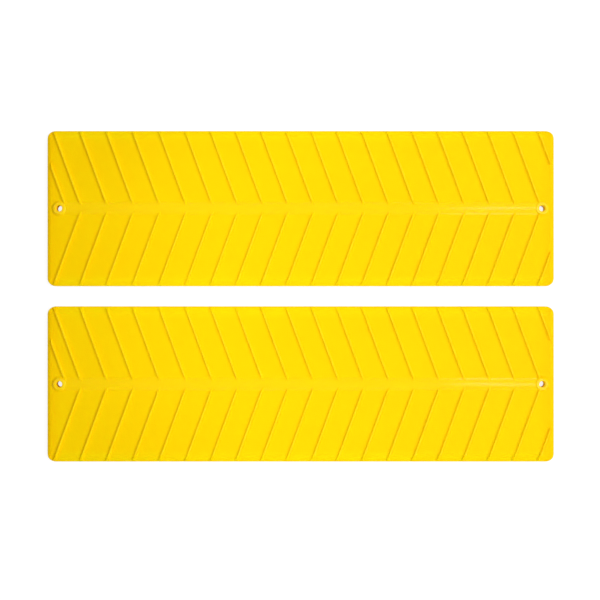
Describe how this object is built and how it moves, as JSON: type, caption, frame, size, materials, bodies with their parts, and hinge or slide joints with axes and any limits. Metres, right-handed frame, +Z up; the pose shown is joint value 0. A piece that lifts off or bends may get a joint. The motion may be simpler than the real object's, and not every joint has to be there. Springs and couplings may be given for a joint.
{
  "type": "vehicle grip plates",
  "caption": "Long flat grip plates for a vehicle's wheels, laid side by side, ribbed with chevrons on top, cleated underneath, with a peg hole at each end.",
  "frame": {"origin": "on the ground, midway between the two plates and midway along them", "axes": "+X along the plates, the way the chevrons point; +Y from the front plate to the rear plate; +Z up from the ground"},
  "size_m": [0.75, 0.49, 0.014],
  "materials": {
    "plate_plastic": "semi-gloss moulded polyethylene, coloured through"
  },
  "bodies": {
    "rear": {"rear_plate": "plate_plastic"},
    "front": {"front_plate": "plate_plastic"}
  },
  "joints": [
    {"name": "front_plate_lift", "type": "slide", "parent": "rear", "child": "front", "axis": [0, 0, 1], "range_m": [0, 0.15]}
  ]
}
